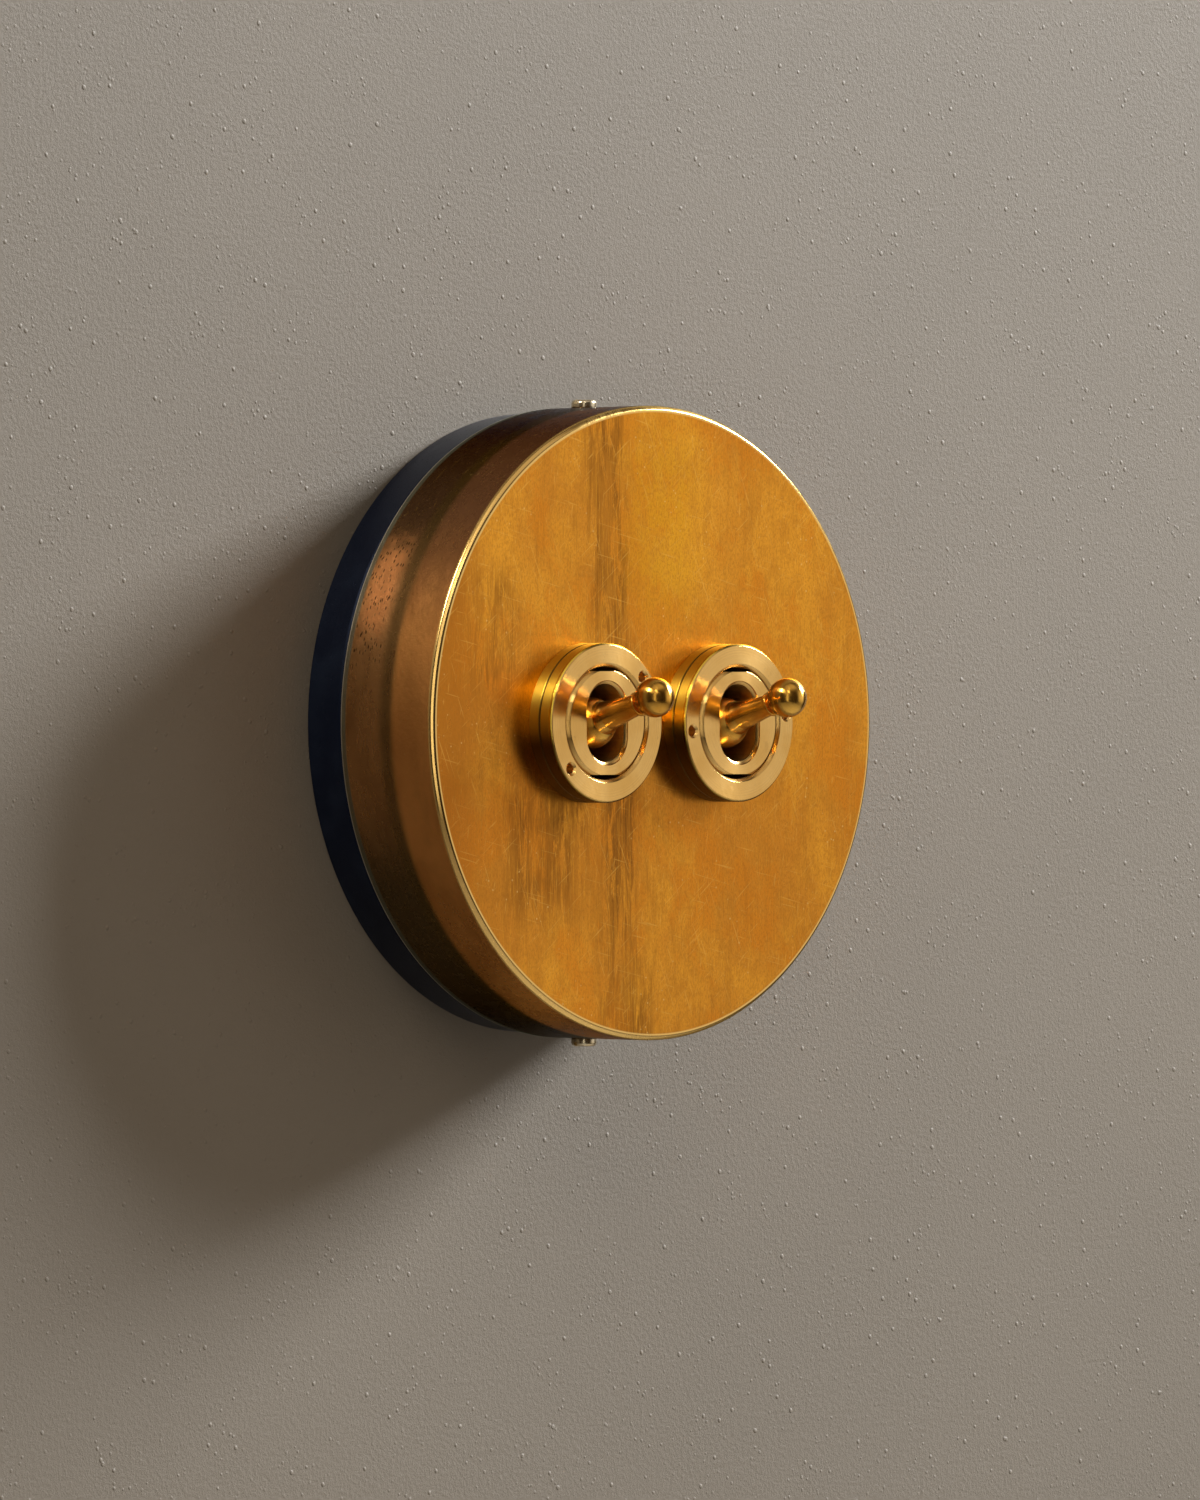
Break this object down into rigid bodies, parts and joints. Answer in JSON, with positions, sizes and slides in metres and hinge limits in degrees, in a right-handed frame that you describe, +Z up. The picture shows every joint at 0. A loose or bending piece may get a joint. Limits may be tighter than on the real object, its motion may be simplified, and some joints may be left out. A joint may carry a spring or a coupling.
{
  "type": "brass dolly switch",
  "caption": "Round wall switch: an aged brass drum cover on a thin black base, with polished brass toggles in threaded ring collars side by side.",
  "frame": {"origin": "centre of the base's back face, midway between the wall screw holes, in the wall's plane", "axes": "+Z up, +X to the right seen from the room, +Y into the wall, so the face looks along -Y"},
  "size_m": [0.125, 0.0582, 0.1282],
  "materials": {
    "aged_brass": "aged, brushed",
    "polished_brass": "polished, turned",
    "screw_brass": "worn",
    "insert_brass": "satin",
    "black_moulding": "satin black",
    "black_housing": "matt black",
    "white_nylon": "moulded",
    "steel": "zinc plated",
    "spring_steel": "drawn wire",
    "silver_alloy": "satin"
  },
  "bodies": {
    "case": {"cover": "aged_brass", "base": "black_moulding", "cover_screws": "screw_brass", "base_inserts": "insert_brass", "earth_terminal": "insert_brass", "earth_screw": "screw_brass", "left_bush": "polished_brass", "left_rear_ring": "polished_brass", "left_front_ring": "polished_brass", "left_pivot_pin": "steel", "left_common_terminal": "insert_brass", "left_upper_terminal": "insert_brass", "left_lower_terminal": "insert_brass", "left_fixed_contacts": "silver_alloy", "left_terminal_screws": "steel", "left_housing": "black_housing", "left_housing_screws": "steel", "right_bush": "polished_brass", "right_rear_ring": "polished_brass", "right_front_ring": "polished_brass", "right_pivot_pin": "steel", "right_common_terminal": "insert_brass", "right_upper_terminal": "insert_brass", "right_lower_terminal": "insert_brass", "right_fixed_contacts": "silver_alloy", "right_terminal_screws": "steel", "right_housing": "black_housing", "right_housing_screws": "steel"},
    "left_dolly": {"left_dolly": "polished_brass", "left_plunger_spring": "spring_steel"},
    "left_plunger": {"left_plunger": "white_nylon"},
    "left_rocker": {"left_rocker": "white_nylon", "left_contact_blade": "insert_brass", "left_moving_contacts": "silver_alloy"},
    "right_dolly": {"right_dolly": "polished_brass", "right_plunger_spring": "spring_steel"},
    "right_plunger": {"right_plunger": "white_nylon"},
    "right_rocker": {"right_rocker": "white_nylon", "right_contact_blade": "insert_brass", "right_moving_contacts": "silver_alloy"}
  },
  "joints": [
    {"name": "left_dolly_pivot", "type": "hinge", "parent": "case", "child": "left_dolly", "pos_m": [-0.0203, -0.037, 0], "axis": [1, 0, 0], "range_deg": [0, 32]},
    {"name": "left_plunger_slide", "type": "slide", "parent": "left_dolly", "child": "left_plunger", "axis": [0, -0.9613, 0.2756], "range_m": [0, 0.002], "stiffness_N_per_m": 800, "springref_m": -0.004, "deforming": ["left_plunger_spring"]},
    {"name": "left_rocker_pivot", "type": "hinge", "parent": "case", "child": "left_rocker", "pos_m": [-0.0203, -0.021, 0], "axis": [1, 0, 0], "range_deg": [-18, 0]},
    {"name": "right_dolly_pivot", "type": "hinge", "parent": "case", "child": "right_dolly", "pos_m": [0.0173, -0.037, 0], "axis": [1, 0, 0], "range_deg": [0, 32]},
    {"name": "right_plunger_slide", "type": "slide", "parent": "right_dolly", "child": "right_plunger", "axis": [0, -0.9613, 0.2756], "range_m": [0, 0.002], "stiffness_N_per_m": 800, "springref_m": -0.004, "deforming": ["right_plunger_spring"]},
    {"name": "right_rocker_pivot", "type": "hinge", "parent": "case", "child": "right_rocker", "pos_m": [0.0173, -0.021, 0], "axis": [1, 0, 0], "range_deg": [-18, 0]}
  ],
  "couplings": [
    {"joint": "left_rocker_pivot", "follows": "left_dolly_pivot", "ratio": -0.5625},
    {"joint": "right_rocker_pivot", "follows": "right_dolly_pivot", "ratio": -0.5625}
  ]
}
